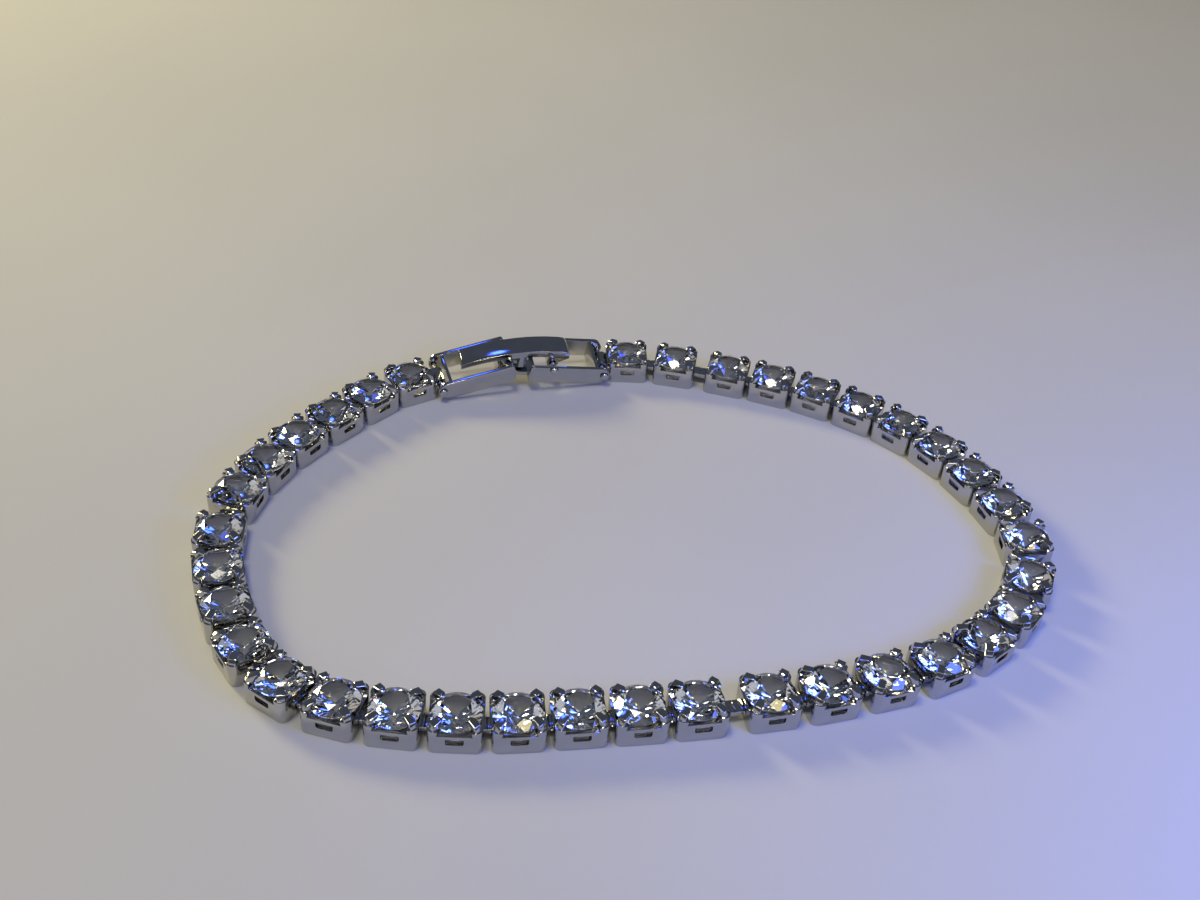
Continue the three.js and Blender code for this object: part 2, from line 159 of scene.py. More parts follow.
LEVER_TOP_RADIUS = 18.0
DEPTH_AT_TIP = 0.65
DEPTH_AT_TAIL = 0.9
TAIL_ROUND = 0.45
LEVER_STEPS = 26
LEVER_EDGE = 0.25
LEVER_EDGE_STEPS = 5
LEVER_CROWN = 0.12
CROWN_CUTS = (-0.75, -0.5, -0.25, 0.0, 0.25, 0.5, 0.75)
LEVER_SKIN = 0.3
LUG_FROM = 0.95
LUG_TO = 1.45
LUG_HEIGHT = 0.85
HINGE_AT = 4.2
HINGE_HEIGHT = 1.55
FOLD_THICKNESS = 0.3
BORE = PIN_RADIUS + PIN_GAP
KNUCKLE = BORE + KNUCKLE_WALL

# Colours, each the darker and the lighter end of a cloud
METAL_DARK = (0.49, 0.49, 0.485)
METAL_LIGHT = (0.61, 0.61, 0.60)
STONE_COOL = (0.93, 0.95, 1.0)
STONE_CLEAR = (1.0, 1.0, 1.0)
FLOOR_DARK = (0.46, 0.46, 0.445)
FLOOR_LIGHT = (0.53, 0.53, 0.51)

# The rest of the materials, and how far the floor reaches, in metres
NOISE_LOW = 0.3
NOISE_HIGH = 0.7
METAL_ROUGHNESS = (0.04, 0.11)
STONE_ROUGHNESS = (0.015, 0.045)
STONE_IOR = 1.75
FLOOR_REACH_M = 3.0


# Small mesh tools, all in millimetres

def mesh_of(bm, name="part"):
    """The bmesh as a new mesh, its normals outward."""
    bmesh.ops.recalc_face_normals(bm, faces=bm.faces)
    mesh = bpy.data.meshes.new(name)
    bm.to_mesh(mesh)
    bm.free()
    return mesh


def extruded(outline, low, high, lift):
    """A closed outline as a solid between two levels; lift(u, v, level) gives each point in space."""
    bm = bmesh.new()
    rows = [[bm.verts.new(lift(u, v, level)) for u, v in outline] for level in (low, high)]
    count = len(outline)
    for i in range(count):
        j = (i + 1) % count
        bm.faces.new((rows[0][i], rows[0][j], rows[1][j], rows[1][i]))
    bm.faces.new(rows[0])
    bm.faces.new(rows[1])
    return mesh_of(bm)


def upright(outline, low, high):
    """An outline in plan, between two heights."""
    return extruded(outline, low, high, lambda x, y, z: (x, y, z))


def plate(profile, half_width):
    """A side profile of (x, z) points, as wide as given across y."""
    return extruded(profile, -half_width, half_width, lambda x, z, y: (x, y, z))


def block(low, high):
    corners = [(low[0], low[1]), (high[0], low[1]), (high[0], high[1]), (low[0], high[1])]
    return upright(corners, low[2], high[2])


def turned(profile, sides):
    """A profile of (radius, height) points turned about the vertical axis; its ends lie on the axis."""
    bm = bmesh.new()
    rows = []
    for radius, height in profile:
        if radius == 0:
            rows.append([bm.verts.new((0, 0, height))])
        else:
            turns = [2 * math.pi * (i + 0.5) / sides for i in range(sides)]
            rows.append([bm.verts.new((radius * math.cos(t), radius * math.sin(t), height)) for t in turns])
    for below, above in zip(rows, rows[1:]):
        for i in range(sides):
            j = (i + 1) % sides
            ring = [below[i % len(below)], below[j % len(below)]]
            ring += [above[j % len(above)], above[i % len(above)]]
            bm.faces.new(list(dict.fromkeys(ring)))
    return mesh_of(bm)


def moved(mesh, *steps):
    for step in steps:
        mesh.transform(step)
    return mesh


def across(mesh, x, z):
    """A part turned about the vertical axis, laid across y and centred at x, z."""
    return moved(mesh, Matrix.Rotation(math.radians(90), 4, "X"), Matrix.Translation((x, 0, z)))


def cross_bar(x, z, radius, half_width, sides):
    profile = [(0, -half_width), (radius, -half_width), (radius, half_width), (0, half_width)]
    return across(turned(profile, sides), x, z)


def rounded_square(half, corner, steps):
    points = []
    for quarter in range(4):
        base = math.pi / 2 * quarter
        centre = Vector((half - corner, half - corner))
        centre.rotate(Matrix.Rotation(base, 2))
        for i in range(steps + 1):
            turn = base + math.pi / 2 * i / steps
            points.append((centre.x + corner * math.cos(turn), centre.y + corner * math.sin(turn)))
    return points


def ball_hull(balls):
    """The rounded solid that wraps balls given as ((x, y, z), radius)."""
    bm = bmesh.new()
    for centre, radius in balls:
        place = Matrix.Translation(centre)
        bmesh.ops.create_icosphere(bm, subdivisions=2, radius=radius, matrix=place)
    hull = bmesh.ops.convex_hull(bm, input=bm.verts[:])
    spare = [v for v in hull["geom_interior"] if isinstance(v, bmesh.types.BMVert)]
    spare += [v for v in hull["geom_unused"] if isinstance(v, bmesh.types.BMVert)]
    bmesh.ops.delete(bm, geom=spare, context="VERTS")
    return mesh_of(bm)


def evaluated(obj):
    """The object's mesh with its modifiers applied."""
    graph = bpy.context.evaluated_depsgraph_get()
    graph.update()
    mesh = bpy.data.meshes.new_from_object(obj.evaluated_get(graph))
    return mesh


def combined(base, operation, *tools):
    """base joined with, or cut by, each tool in turn."""
    holder = bpy.data.objects.new("holder", base)
    bpy.context.scene.collection.objects.link(holder)
    spare = []
    for mesh in tools:
        tool = bpy.data.objects.new("tool", mesh)
        bpy.context.scene.collection.objects.link(tool)
        change = holder.modifiers.new("change", "BOOLEAN")
        change.operation = operation
        change.solver = "EXACT"
        change.object = tool
        spare.append(tool)
    result = evaluated(holder)
    for obj in [holder, *spare]:
        bpy.data.objects.remove(obj)
    return result


def joined(base, *tools):
    return combined(base, "UNION", *tools)


def cut(base, *tools):
    return combined(base, "DIFFERENCE", *tools)


def finished(mesh, name, edge=EDGE_ROUND):
    """The mesh cleaned, its sharp edges rounded and its curved faces smooth."""
    bm = bmesh.new()
    bm.from_mesh(mesh)
    bmesh.ops.remove_doubles(bm, verts=bm.verts, dist=MERGE)
    bmesh.ops.dissolve_limit(bm, angle_limit=math.radians(FLAT_BELOW_DEG), verts=bm.verts, edges=bm.edges)
    bm.to_mesh(mesh)
    bm.free()
    holder = bpy.data.objects.new("holder", mesh)
    bpy.context.scene.collection.objects.link(holder)
    if edge:
        bevel = holder.modifiers.new("edges", "BEVEL")
        bevel.width = edge
        bevel.segments = EDGE_STEPS
        bevel.limit_method = "ANGLE"
        bevel.angle_limit = math.radians(ROUND_ABOVE_DEG)
        bevel.use_clamp_overlap = True
        bevel.miter_outer = "MITER_ARC"
    result = evaluated(holder)
    bpy.data.objects.remove(holder)
    result.name = name
    result.polygons.foreach_set("use_smooth", [True] * len(result.polygons))
    result.set_sharp_from_angle(angle=math.radians(SHARP_ABOVE_DEG))
    return result


# Where the settings lie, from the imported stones

def stone_places():
    """The centre and heading of each stone, in millimetres and radians, read from its CAD node."""
    names = sorted(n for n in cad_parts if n.startswith("stone_"))
    centres = []
    rims = []
    for name in names:
        points = [v.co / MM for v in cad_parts[name].data.vertices]
        culet = min(points, key=lambda p: p.z)
        reach = max((p - culet).xy.length for p in points)
        rims.append([p - culet for p in points if (p - culet).xy.length > 0.99 * reach])
        centres.append(Vector((culet.x, culet.y, 0)))
    places = []
    for i, centre in enumerate(centres):
        before = centres[max(i - 1, 0)]
        after = centres[min(i + 1, len(centres) - 1)]
        chord = after - before
        heading = math.atan2(chord.y, chord.x)
        step = 2 * math.pi / 16
        corner = math.atan2(rims[i][0].y, rims[i][0].x)
        turn = corner + step * round((heading - corner) / step)
        places.append((names[i], centre, turn))
    return places


# The stone

def stone_mesh():
    """A round brilliant: a fine cylinder cut by each facet's plane in turn."""
    bm = bmesh.new()
    bmesh.ops.create_cone(bm, cap_ends=True, segments=GIRDLE_SIDES, radius1=STONE_RADIUS,
                          radius2=STONE_RADIUS, depth=TABLE_HEIGHT,
                          matrix=Matrix.Translation((0, 0, TABLE_HEIGHT / 2)))

    def facet(azimuth, slope_deg, radius, height, up):
        """Cuts away what lies outside the plane that slopes at this angle through radius and height."""
        slope = math.radians(slope_deg)
        outward = Vector((math.sin(slope) * math.cos(azimuth), math.sin(slope) * math.sin(azimuth),
                          up * math.cos(slope)))
        point = Vector((radius * math.cos(azimuth), radius * math.sin(azimuth), height))
        geometry = bm.verts[:] + bm.edges[:] + bm.faces[:]
        made = bmesh.ops.bisect_plane(bm, geom=geometry, plane_co=point, plane_no=outward,
                                      clear_outer=True, dist=1e-6)
        rim = [e for e in made["geom_cut"] if isinstance(e, bmesh.types.BMEdge)]
        if rim:
            bmesh.ops.contextual_create(bm, geom=rim)

    step = 2 * math.pi / FACETS_ROUND
    flat_radius = TABLE_RADIUS * math.cos(step / 2)
    for i in range(FACETS_ROUND):
        facet(i * step, CROWN_MAIN_DEG, TABLE_RADIUS, TABLE_HEIGHT, 1)
        facet(i * step, PAVILION_MAIN_DEG, STONE_RADIUS, GIRDLE_FLOOR, -1)
        facet((i + 0.5) * step, STAR_DEG, flat_radius, TABLE_HEIGHT, 1)
        for side in (0.25, 0.75):
            facet((i + side) * step, UPPER_HALF_DEG, STONE_RADIUS, GIRDLE_TOP, 1)
            facet((i + side) * step, LOWER_HALF_DEG, STONE_RADIUS, GIRDLE_FLOOR, -1)
    bmesh.ops.remove_doubles(bm, verts=bm.verts, dist=1e-5)
    return mesh_of(bm, "brilliant")


# The setting and the folded tabs

def stone_hollow():
    """The bore, the seat and the room for the stone's crown, a little larger than the stone."""
    seat = STONE_RADIUS + SEAT_GAP
    pavilion = math.tan(math.radians(PAVILION_MAIN_DEG))
    crown = math.tan(math.radians(CROWN_MAIN_DEG))
    top = TABLE_HEIGHT + 1.5 * CLEAR
    profile = [
        (0, -CLEAR),
        (BORE_RADIUS, -CLEAR),
        (BORE_RADIUS, GIRDLE_FLOOR - (seat - BORE_RADIUS) * pavilion),
        (seat, GIRDLE_FLOOR - SEAT_GAP),
        (seat, GIRDLE_TOP + SEAT_GAP),
        (seat - (top - GIRDLE_TOP - SEAT_GAP) / crown, top),
        (0, top),
    ]
    return turned(profile, HOLLOW_SIDES)


def claw(turn):
    balls = []
    for distance, height, half, radius in CLAW_BALLS:
        for side in (-half, half):
            centre = Vector((distance, side, height))
            centre.rotate(Matrix.Rotation(turn, 3, "Z"))
            balls.append((centre, radius))
    return ball_hull(balls)


def setting_mesh():
    out = 2 * SETTING_HALF
    body = upright(rounded_square(SETTING_HALF, SETTING_CORNER, CORNER_STEPS), 0, POST_TOP)
    above = POST_TOP + CLEAR
    rise = (DIP_TOP_HALF - DIP_FLOOR_HALF) / (POST_TOP - WALL_TOP)
    top_half = DIP_TOP_HALF + CLEAR * rise
    dip = [(-DIP_FLOOR_HALF, WALL_TOP), (DIP_FLOOR_HALF, WALL_TOP), (top_half, above), (-top_half, above)]
    quarter = Matrix.Rotation(math.pi / 2, 4, "Z")
    inner = WINDOW_HALF - WINDOW_CORNER
    corner_top = WINDOW_SILL + WINDOW_CORNER
    window = [(-inner, WINDOW_SILL), (inner, WINDOW_SILL), (WINDOW_HALF, corner_top),
              (WINDOW_HALF, WINDOW_TOP), (-WINDOW_HALF, WINDOW_TOP), (-WINDOW_HALF, corner_top)]
    slot = [(-SLOT_HALF, SLOT_SILL), (SLOT_HALF, SLOT_SILL), (SLOT_HALF, SLOT_TOP), (-SLOT_HALF, SLOT_TOP)]
    body = cut(body, plate(dip, out), moved(plate(dip, out), quarter), plate(window, out),
               moved(plate(slot, out), quarter))
    body = joined(body, *[claw(math.pi / 4 + math.pi / 2 * i) for i in range(4)])
    body = cut(body, stone_hollow())
    return finished(body, "setting")


def tab_mesh(before, after):
    """The folded strip between two neighbouring settings, its two folds meeting in a seam."""
    ends = []
    for (_, centre, turn), side in ((before, 1), (after, -1)):
        wall = Vector((side * (SETTING_HALF - TAB_BITE), 0, 0))
        wall.rotate(Matrix.Rotation(turn, 3, "Z"))
        ends.append(centre + wall)
    along = ends[1] - ends[0]
    half = along.length / 2
    top = TAB_SILL + TAB_THICKNESS
    folds = [plate(rounded_profile((low, TAB_SILL), (high, top), [TAB_FOLD] * 4), TAB_HALF)
             for low, high in ((-half, TAB_OVERLAP), (-TAB_OVERLAP, half))]
    middle = Matrix.Translation((ends[0] + ends[1]) / 2)
    lie = middle @ Matrix.Rotation(math.atan2(along.y, along.x), 4, "Z")
    return moved(finished(joined(*folds), "tab"), lie)


# The clasp

def clasp_places(places):
    """How the catch frame and the lever frame lie between the first and the last setting."""
    bend = math.radians(CLASP_BEND_DEG)
    rise = math.radians(CATCH_RISE_DEG)
    fall = math.asin(CATCH_REACH * math.sin(rise) / LEVER_FRAME_REACH)
    catch_span = CATCH_REACH * math.cos(rise) + SETTING_HALF + END_REACH
    lever_span = LEVER_FRAME_REACH * math.cos(fall) + SETTING_HALF + END_REACH
    first = places[0][1]
    chord = places[-1][1] - first
    turn = math.atan2(chord.y, chord.x) + math.asin(lever_span * math.sin(bend) / chord.length)
    bar = first + catch_span * Vector((math.cos(turn), math.sin(turn), 0))
    bar.z = END_PIN_HEIGHT + END_PIN_LIFT + CATCH_REACH * math.sin(rise)

    def laid(heading, pitch):
        return (Matrix.Translation(bar) @ Matrix.Rotation(heading, 4, "Z") @ Matrix.Rotation(-pitch, 4, "Y")
                @ Matrix.Rotation(math.radians(CLASP_LEAN_DEG), 4, "X")
                @ Matrix.Translation((0, 0, -END_PIN_HEIGHT)))

    return laid(turn, rise), laid(turn - bend, -fall)


def rounded_profile(low, high, radii, steps=8):
    """A rectangle of (x, z) points, its corners rounded by radii given from the lower left round."""
    centres = [(low[0], low[1]), (high[0], low[1]), (high[0], high[1]), (low[0], high[1])]
    signs = [(1, 1), (-1, 1), (-1, -1), (1, -1)]
    points = []
    for quarter, (corner, sign, radius) in enumerate(zip(centres, signs, radii)):
        centre = (corner[0] + sign[0] * radius, corner[1] + sign[1] * radius)
        for i in range(steps + 1):
            turn = math.pi + math.pi / 2 * (quarter + i / steps)
            points.append((centre[0] + radius * math.cos(turn), centre[1] + radius * math.sin(turn)))
    return points


def rails(low, high, end_is_high, wall_at, pin_at):
    """Two rails whose tops slope down toward -y, round at the pin's end, with a wall and the pin's bore."""
    small = RAIL_CORNER
    big = FRAME_HEIGHT / 2 - 2 * HAIR
    radii = (small, big, big, small) if end_is_high else (big, small, small, big)
    rail = rounded_profile((low, 0), (high, FRAME_HEIGHT), radii)
    half = RAIL_THICKNESS / 2
    inside = FRAME_HALF - half
    strip = plate(rail, half)
    for vertex in strip.vertices:
        if vertex.co.z > FRAME_HEIGHT - half:
            vertex.co.z -= RAIL_TOP_LEAN * (half - vertex.co.y)
    far, near = (moved(strip.copy(), Matrix.Translation((0, side * inside, 0))) for side in (1, -1))
    wall = block((wall_at, -inside, 5 * HAIR), (wall_at + END_WALL, inside, FRAME_HEIGHT - 5 * HAIR))
    bore = cross_bar(pin_at, END_PIN_HEIGHT, BORE, 2 * FRAME_HALF, PIN_SIDES)
    return cut(joined(far, near, wall), bore)


def catch_mesh():
    inside = FRAME_HALF - RAIL_THICKNESS / 2
    body = rails(-CATCH_REACH - RAIL_OVERRUN, BAR_HALF, False, -CATCH_REACH + KNUCKLE + 2 * PIN_GAP,
                 -CATCH_REACH)
    bar = plate(rounded_profile((-BAR_HALF, BAR_SILL), (BAR_HALF, BAR_TOP), [BAR_CORNER] * 4), inside)
    root = -PIP_RADIUS / 2
    shoulder = (0.7 * PIP_RADIUS, 0.7 * PIP_PROUD)
    dome = [(0, root), (PIP_RADIUS, root), (PIP_RADIUS, 0), shoulder, (0, PIP_PROUD)]
    at = (LEVER_TIP + 2 * PIP_RADIUS, FRAME_HALF - RAIL_THICKNESS, FRAME_HEIGHT - 2 * PIP_RADIUS)
    far = moved(turned(dome, 16), Matrix.Rotation(math.pi / 2, 4, "X"), Matrix.Translation(at))
    near = moved(turned(dome, 16), Matrix.Rotation(-math.pi / 2, 4, "X"),
                 Matrix.Translation((at[0], -at[1], at[2])))
    return finished(joined(body, bar, far, near), "catch")


def lever_frame_mesh():
    start = LEVER_FRAME_START
    wall = LEVER_FRAME_REACH - KNUCKLE - 2 * PIN_GAP - END_WALL
    body = rails(start, LEVER_FRAME_REACH + RAIL_OVERRUN, True, wall, LEVER_FRAME_REACH)
    inside = FRAME_HALF - RAIL_THICKNESS / 2
    root = block((start + 4 * HAIR, -inside, 2 * HAIR), (start + TONGUE_ROOT, inside, TONGUE_THICKNESS))
    hook_back = HOOK_FACE - HOOK_THICKNESS
    tongue_end = (start + TONGUE_ROOT / 2, TONGUE_HALF, TONGUE_THICKNESS - HAIR)
    tongue = block((hook_back, -TONGUE_HALF, 0), tongue_end)
    bend = HOOK_THICKNESS / 2 - HAIR
    hook_outline = rounded_profile((hook_back, 0), (HOOK_FACE, HOOK_HEIGHT), (bend, 2 * HAIR, bend, bend))
    hook = plate(hook_outline, TONGUE_HALF)
    bore = cross_bar(HINGE_AT, HINGE_HEIGHT, BORE, 2 * FRAME_HALF, PIN_SIDES)
    return finished(cut(joined(body, root, tongue, hook), bore), "lever_frame")


def lever_top(x):
    return LEVER_CREST_HEIGHT - (x - LEVER_CREST) ** 2 / (2 * LEVER_TOP_RADIUS)


def along_lever(start, end, depth_start, depth_end, steps):
    points = []
    for i in range(steps + 1):
        share = i / steps
        x = start + (end - start) * share
        points.append((x, lever_top(x) - depth_start - (depth_end - depth_start) * share))
    return points


def lever_outside():
    """The arched outside of the lever, its top edges, tip and tail rolled over."""
    tail_top = lever_top(LEVER_TAIL)
    tail = [(LEVER_TAIL - TAIL_ROUND * (1 - math.cos(t)), tail_top - TAIL_ROUND * (1 - math.sin(t)))
            for t in (math.pi / 2 * i / 6 for i in range(7))]
    top = along_lever(LEVER_TAIL - TAIL_ROUND, LEVER_TIP, 0, 0, LEVER_STEPS)
    floor = along_lever(LEVER_TIP, LEVER_TAIL, DEPTH_AT_TIP, DEPTH_AT_TAIL, LEVER_STEPS)
    outside = plate([*floor, *tail, *top[1:]], LEVER_HALF)
    bm = bmesh.new()
    bm.from_mesh(outside)
    bpy.data.meshes.remove(outside)

    def rolled(edge):
        a, b = (v.co for v in edge.verts)
        middle = (a + b) / 2
        on_side = abs(abs(middle.y) - LEVER_HALF) < MERGE
        above = middle.z > lever_top(middle.x) - 0.6 * DEPTH_AT_TIP
        at_tip = abs(middle.x - LEVER_TIP) < MERGE
        upright_edge = at_tip and abs(a.y - b.y) < MERGE
        return (on_side and above and not at_tip) or upright_edge or (at_tip and above)

    edges = [e for e in bm.edges if rolled(e)]
    bmesh.ops.bevel(bm, geom=edges, offset=LEVER_EDGE, segments=LEVER_EDGE_STEPS, profile=0.5,
                    affect="EDGES", clamp_overlap=True)
    for share in CROWN_CUTS:
        geometry = bm.verts[:] + bm.edges[:] + bm.faces[:]
        bmesh.ops.bisect_plane(bm, geom=geometry, plane_co=(0, share * LEVER_HALF, 0), plane_no=(0, 1, 0))
    for vertex in bm.verts:
        if lever_top(vertex.co.x) - vertex.co.z < DEPTH_AT_TIP / 2:
            vertex.co.z -= LEVER_CROWN * (vertex.co.y / LEVER_HALF) ** 2
    return mesh_of(bm)


def lever_mesh():
    fold_from = HINGE_AT - KNUCKLE
    inner_tip = LEVER_TIP + LEVER_SKIN
    below = lever_top(LEVER_TIP) - 2 * DEPTH_AT_TIP
    skin = along_lever(fold_from, inner_tip, LEVER_SKIN, LEVER_SKIN, LEVER_STEPS)
    channel = plate([(inner_tip, below), (fold_from, below), *skin], LEVER_HALF - LEVER_SKIN)
    lug_half = LEVER_HALF - 5 * HAIR
    lug_top = LEVER_CREST_HEIGHT - 3 * LEVER_SKIN
    lug = block((LUG_FROM, -lug_half, LUG_HEIGHT), (LUG_TO, lug_half, lug_top))
    tail_floor = lever_top(LEVER_TAIL) - DEPTH_AT_TAIL
    fold_to = LEVER_TAIL - 4 * HAIR
    fold = plate([(fold_to, tail_floor), (fold_to, tail_floor + FOLD_THICKNESS),
                  (fold_from, lever_top(HINGE_AT) - LEVER_SKIN), (fold_from, HINGE_HEIGHT),
                  (HINGE_AT, HINGE_HEIGHT - KNUCKLE / 2)], LEVER_HALF - 3 * HAIR)
    knuckle = cross_bar(HINGE_AT, HINGE_HEIGHT, KNUCKLE, LEVER_HALF - 2 * HAIR, PIN_SIDES)
    bore = cross_bar(HINGE_AT, HINGE_HEIGHT, BORE, 2 * LEVER_HALF, PIN_SIDES)
    body = cut(lever_outside(), channel)
    return finished(cut(joined(body, lug, fold, knuckle), bore), "lever")


def pin_mesh(x, z):
    """A rivet across a frame, with a low dome at each end."""
    inner = FRAME_HALF + PIN_GAP
    steps = 6
    head = [(PIN_HEAD * math.cos(t), inner + PIN_DOME * math.sin(t))
            for t in (math.pi / 2 * i / steps for i in range(steps))]
    half = [(PIN_RADIUS, inner), *head, (0, inner + PIN_DOME)]
    profile = [(r, -z) for r, z in reversed(half)] + half
    return finished(across(turned(profile, PIN_SIDES), x, z), "pin", edge=0)


def end_loop_mesh(setting, side, lie, pin_x):
    """The loop and strap from an end setting's wall to the frame's end pin."""
    _, centre, turn = setting
    half = END_LOOP_HALF
    barrel = moved(cross_bar(pin_x, END_PIN_HEIGHT, KNUCKLE, half, PIN_SIDES), lie)
    bore = moved(cross_bar(pin_x, END_PIN_HEIGHT, BORE, 2 * half, PIN_SIDES), lie)
    crown = block((pin_x - KNUCKLE_WALL, -half, END_PIN_HEIGHT + BORE),
                  (pin_x + KNUCKLE_WALL, half, END_PIN_HEIGHT + KNUCKLE))
    wall = side * (SETTING_HALF - END_LOOP_BITE)
    root = block((wall - KNUCKLE_WALL / 2, -half, STRAP_HEIGHT),
                 (wall + KNUCKLE_WALL / 2, half, STRAP_HEIGHT + 2 * KNUCKLE_WALL))
    moved(crown, lie)
    moved(root, Matrix.Translation(centre) @ Matrix.Rotation(turn, 4, "Z"))
    bm = bmesh.new()
    for corner in [v.co for mesh in (crown, root) for v in mesh.vertices]:
        bm.verts.new(corner)
    bmesh.ops.convex_hull(bm, input=bm.verts[:])
    return finished(cut(joined(barrel, mesh_of(bm)), bore), "end_loop")


# Materials

def new_material(name):
    material = bpy.data.materials.new(name)
    material.use_nodes = True
    nodes = material.node_tree.nodes
    return material, nodes, material.node_tree.links, nodes["Principled BSDF"]


def noise(nodes, links, vector, scale, detail=2.0):
    texture = nodes.new("ShaderNodeTexNoise")
    texture.inputs["Scale"].default_value = scale
    texture.inputs["Detail"].default_value = detail
    links.new(vector, texture.inputs["Vector"])
    return texture.outputs["Fac"]


def ramp(nodes, links, value, low, high):
    """A noise's value, over the range it mostly takes, as a number from low to high."""
    mapped = nodes.new("ShaderNodeMapRange")
    mapped.inputs["From Min"].default_value = NOISE_LOW
    mapped.inputs["From Max"].default_value = NOISE_HIGH
    mapped.inputs["To Min"].default_value = low
    mapped.inputs["To Max"].default_value = high
    links.new(value, mapped.inputs["Value"])
    return mapped.outputs["Result"]


def tinted(nodes, links, value, dark, light):
    mixed = nodes.new("ShaderNodeMix")
    mixed.data_type = "RGBA"
    mixed.inputs["A"].default_value = (*dark, 1)
    mixed.inputs["B"].default_value = (*light, 1)
    links.new(value, mixed.inputs["Factor"])
    return mixed.outputs["Result"]


def object_points(nodes, links):
    """Object coordinates, shifted by a random amount for each piece."""
    place = nodes.new("ShaderNodeTexCoord")
    info = nodes.new("ShaderNodeObjectInfo")
    shift = nodes.new("ShaderNodeVectorMath")
    shift.operation = "ADD"
    links.new(place.outputs["Object"], shift.inputs[0])
    links.new(info.outputs["Random"], shift.inputs[1])
    return shift.outputs["Vector"]


def metal_material():
    """Bright plated metal: polished, with faint smudges and hairlines."""
    material, nodes, links, shader = new_material("plated_metal")
    shader.inputs["Metallic"].default_value = 1.0
    points = object_points(nodes, links)
    smudge = noise(nodes, links, points, 700)
    hairline_points = nodes.new("ShaderNodeMapping")
    hairline_points.inputs["Scale"].default_value = (1, 14, 5)
    links.new(points, hairline_points.inputs["Vector"])
    hairline = noise(nodes, links, hairline_points.outputs["Vector"], 2600, 3)
    links.new(tinted(nodes, links, smudge, METAL_DARK, METAL_LIGHT), shader.inputs["Base Color"])
    links.new(ramp(nodes, links, smudge, *METAL_ROUGHNESS), shader.inputs["Roughness"])
    bump = nodes.new("ShaderNodeBump")
    bump.inputs["Strength"].default_value = 0.12
    bump.inputs["Distance"].default_value = 0.00001
    links.new(hairline, bump.inputs["Height"])
    links.new(bump.outputs["Normal"], shader.inputs["Normal"])
    return material


def stone_material():
    """Clear faceted crystal with the faintest cool cast, uneven as cast in the cut."""
    material, nodes, links, shader = new_material("clear_crystal")
    shader.inputs["Transmission Weight"].default_value = 1.0
    shader.inputs["IOR"].default_value = STONE_IOR
    points = object_points(nodes, links)
    cloud = noise(nodes, links, points, 900)
    links.new(tinted(nodes, links, cloud, STONE_COOL, STONE_CLEAR), shader.inputs["Base Color"])
    links.new(ramp(nodes, links, cloud, *STONE_ROUGHNESS), shader.inputs["Roughness"])
    return material


def floor_material():
    material, nodes, links, shader = new_material("pale_floor")
    place = nodes.new("ShaderNodeTexCoord")
    cloud = noise(nodes, links, place.outputs["Object"], 18)
    links.new(tinted(nodes, links, cloud, FLOOR_DARK, FLOOR_LIGHT), shader.inputs["Base Color"])
    shader.inputs["Roughness"].default_value = 0.9
    shader.inputs["Specular IOR Level"].default_value = 0.1
    return material


# Putting pieces in the scene

def shown(mesh, name, material):
    obj = bpy.data.objects.new(name, mesh)
    if not mesh.materials:
        mesh.materials.append(material)
    bpy.context.scene.collection.objects.link(obj)
    return obj


def add_piece(mesh, name, material, body, nodes, place=Matrix.Identity(4)):
    """Shows a copy of the mesh, its place in its own points, from millimetres to metres."""
    copy = mesh.copy()
    copy.transform(Matrix.Scale(MM, 4) @ place)
    obj = shown(copy, name, material)
    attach(obj, body)
    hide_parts(*nodes)
    return obj


def leaned(rng, limit_deg):
    tilt = math.radians(limit_deg)
    return (Matrix.Rotation(rng.uniform(-tilt, tilt), 4, "X")
            @ Matrix.Rotation(rng.uniform(-tilt, tilt), 4, "Y"))


def add_stones(places, material):
    rng = random.Random(SEED)
    mesh = stone_mesh()
    pivot = Matrix.Translation((0, 0, GIRDLE_FLOOR))
    for name, centre, turn in places:
        spin = Matrix.Rotation(turn + rng.uniform(0, math.pi / 4), 4, "Z")
        place = Matrix.Translation(centre) @ pivot @ leaned(rng, STONE_TILT_DEG) @ spin @ pivot.inverted()
        add_piece(mesh, f"crystal_{name[-2:]}", material, "bracelet", [name], place)


def add_settings(places, material):
    mesh = setting_mesh()
    for name, centre, turn in places:
        place = Matrix.Translation(centre) @ Matrix.Rotation(turn, 4, "Z")
        add_piece(mesh, f"setting_{name[-2:]}", material, "bracelet", ["chain"], place)


def add_tabs(places, material):
    for number, (before, after) in enumerate(zip(places, places[1:]), 1):
        add_piece(tab_mesh(before, after), f"tab_{number:02d}", material, "bracelet", ["chain"])


def add_clasp(places, material):
    catch_lie, lever_lie = clasp_places(places)
    rows = [
        ("clasp_catch", catch_mesh(), "bracelet", "catch_frame", catch_lie),
        ("clasp_frame", lever_frame_mesh(), "bracelet", "lever_frame", lever_lie),
        ("clasp_lever", lever_mesh(), "lever", "lever", lever_lie),
        ("pin_catch", pin_mesh(-CATCH_REACH, END_PIN_HEIGHT), "bracelet", "catch_end_pin", catch_lie),
        ("pin_frame", pin_mesh(LEVER_FRAME_REACH, END_PIN_HEIGHT), "bracelet", "lever_end_pin", lever_lie),
        ("pin_hinge", pin_mesh(HINGE_AT, HINGE_HEIGHT), "bracelet", "hinge_pin", lever_lie),
        ("loop_first", end_loop_mesh(places[0], -1, catch_lie, -CATCH_REACH), "bracelet", "chain",
         Matrix.Identity(4)),
        ("loop_last", end_loop_mesh(places[-1], 1, lever_lie, LEVER_FRAME_REACH), "bracelet", "chain",
         Matrix.Identity(4)),
    ]
    for name, mesh, body, node, lie in rows:
        add_piece(mesh, name, material, body, [node], lie)


# Camera, floor and light

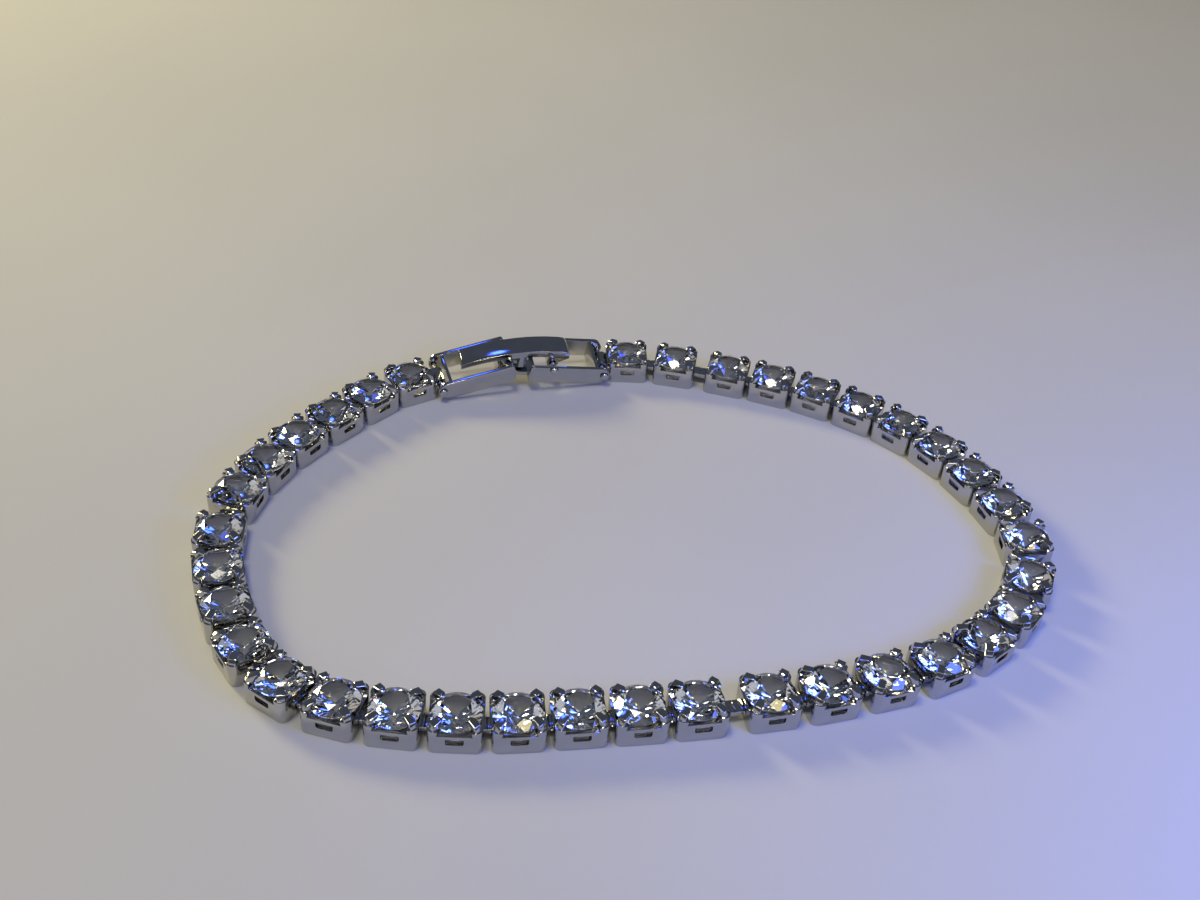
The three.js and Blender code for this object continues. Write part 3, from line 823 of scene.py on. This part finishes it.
def add_camera():
    data = bpy.data.cameras.new("camera")
    data.lens = CAMERA_LENS
    data.sensor_width = 36.0
    data.clip_start = 0.001
    camera = bpy.data.objects.new("camera", data)
    turn = (Matrix.Rotation(math.radians(CAMERA_YAW_DEG), 4, "Z")
            @ Matrix.Rotation(math.radians(90 - CAMERA_PITCH_DEG), 4, "X")
            @ Matrix.Rotation(math.radians(CAMERA_ROLL_DEG), 4, "Z"))
    camera.matrix_world = Matrix.Translation(Vector(CAMERA_AT) * MM) @ turn
    bpy.context.scene.collection.objects.link(camera)
    bpy.context.scene.camera = camera


def add_floor():
    bm = bmesh.new()
    bmesh.ops.create_grid(bm, x_segments=8, y_segments=8, size=FLOOR_REACH_M)
    floor = shown(mesh_of(bm, "floor"), "floor", floor_material())


def add_light(name, at, size, power, colour, aim=(0.0, 0.0, 0.0), spread_deg=180.0):
    """A round soft light that points at its aim, or else at the bracelet's middle; lengths in metres."""
    data = bpy.data.lights.new(name, "AREA")
    data.shape = "DISK"
    data.size = size
    data.energy = power
    data.color = colour
    data.spread = math.radians(spread_deg)
    light = bpy.data.objects.new(name, data)
    light.location = at
    light.rotation_euler = (Vector(aim) - Vector(at)).to_track_quat("-Z", "Y").to_euler()
    bpy.context.scene.collection.objects.link(light)


def add_world():
    world = bpy.data.worlds.new("studio")
    world.use_nodes = True
    background = world.node_tree.nodes["Background"]
    background.inputs["Color"].default_value = (0.50, 0.58, 0.78, 1)
    background.inputs["Strength"].default_value = 0.14
    bpy.context.scene.world = world


def add_lights():
    add_world()
    add_light("key", (-0.10, -0.05, 0.50), 0.14, 0.80, (1.0, 0.95, 0.80))
    add_light("warm", (-0.28, 0.22, 0.17), 0.10, 1.1, (1.0, 0.86, 0.42))
    add_light("cool", (0.105, -0.06, 0.075), 0.07, 0.095, (0.11, 0.20, 1.0), aim=(0.08, -0.045, 0.0),
              spread_deg=120.0)
    add_light("room", (0.0, -0.55, 0.50), 0.60, 0.42, (0.97, 0.97, 1.0))
    add_light("room_left", (-0.46, -0.46, 0.40), 0.52, 0.28, (1.0, 0.88, 0.68))
    add_light("room_right", (0.46, -0.42, 0.40), 0.52, 0.2, (0.86, 0.90, 1.0))
    add_light("blue_rim", (-0.105, 0.191, 0.408), 0.055, 0.10, (0.04, 0.10, 1.0))
    add_light("spark_white", (-0.03, -0.14, 0.44), 0.065, 0.09, (1.0, 0.93, 0.78))
    add_light("spark_blue", (0.10, -0.05, 0.42), 0.08, 0.09, (0.04, 0.11, 1.0))
    add_light("spark_yellow", (0.16, -0.18, 0.36), 0.06, 0.07, (1.0, 0.86, 0.45))


def main():
    add_camera()
    add_floor()
    add_lights()
    bpy.context.scene.view_settings.view_transform = "Standard"
    metal = metal_material()
    crystal = stone_material()
    places = stone_places()
    add_settings(places, metal)
    add_tabs(places, metal)
    add_stones(places, crystal)
    add_clasp(places, metal)


main()
